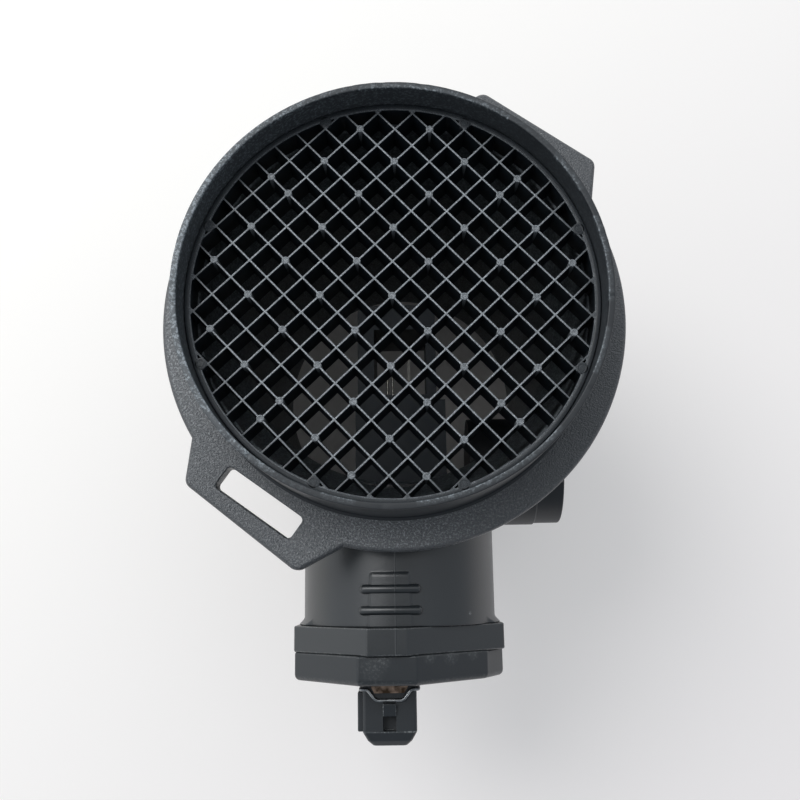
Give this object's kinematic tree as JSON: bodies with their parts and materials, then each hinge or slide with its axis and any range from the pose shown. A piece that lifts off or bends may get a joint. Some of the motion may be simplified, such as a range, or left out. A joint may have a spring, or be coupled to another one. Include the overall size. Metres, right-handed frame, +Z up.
{
  "type": "mass airflow sensor",
  "caption": "Round intake duct with a square grid in its mouth, a slotted mounting flange and a side neck that holds a plug-in hot-film airflow sensor and its electrical connector.",
  "frame": {"origin": "centre of the outlet end", "axes": "+Z up the duct from the outlet to the open mouth with the grid; the sensor neck and its connector point along -Y; the small side port points along +X"},
  "size_m": [0.1164, 0.1658, 0.14],
  "materials": {
    "housing_plastic": "satin, glass-filled nylon",
    "grid_plastic": "satin",
    "cover_plastic": "satin, glass-filled nylon",
    "plug_plastic": "satin",
    "seal_rubber": "matte",
    "spring_steel": "drawn wire",
    "screw_steel": "zinc plated",
    "bronze": "dull",
    "tinned_brass": "tin plated",
    "aluminium_plate": "plain",
    "ceramic": "white substrate",
    "chip_plastic": "moulded"
  },
  "bodies": {
    "root": {"air_thermistor": "chip_plastic", "base_plate": "aluminium_plate", "box_cover": "cover_plastic", "capacitor_1": "ceramic", "capacitor_2": "ceramic", "channel_cover": "plug_plastic", "clip_leaf": "bronze", "control_chip": "chip_plastic", "cover_seal": "seal_rubber", "duct_housing": "housing_plastic", "element_carrier": "plug_plastic", "hot_film_plate": "ceramic", "hybrid_board": "ceramic", "inlet_grid": "grid_plastic", "lead_strip_1": "tinned_brass", "lead_strip_2": "tinned_brass", "lead_strip_3": "tinned_brass", "lead_strip_4": "tinned_brass", "output_chip": "chip_plastic", "plug_ring": "seal_rubber", "plug_screw_1": "screw_steel", "plug_screw_2": "screw_steel", "retaining_clip": "spring_steel", "sensor_plug": "plug_plastic", "terminal_1": "tinned_brass", "terminal_2": "tinned_brass", "terminal_3": "tinned_brass", "terminal_4": "tinned_brass", "terminal_5": "tinned_brass", "thermistor_lead_1": "tinned_brass", "thermistor_lead_2": "tinned_brass"}
  },
  "joints": []
}
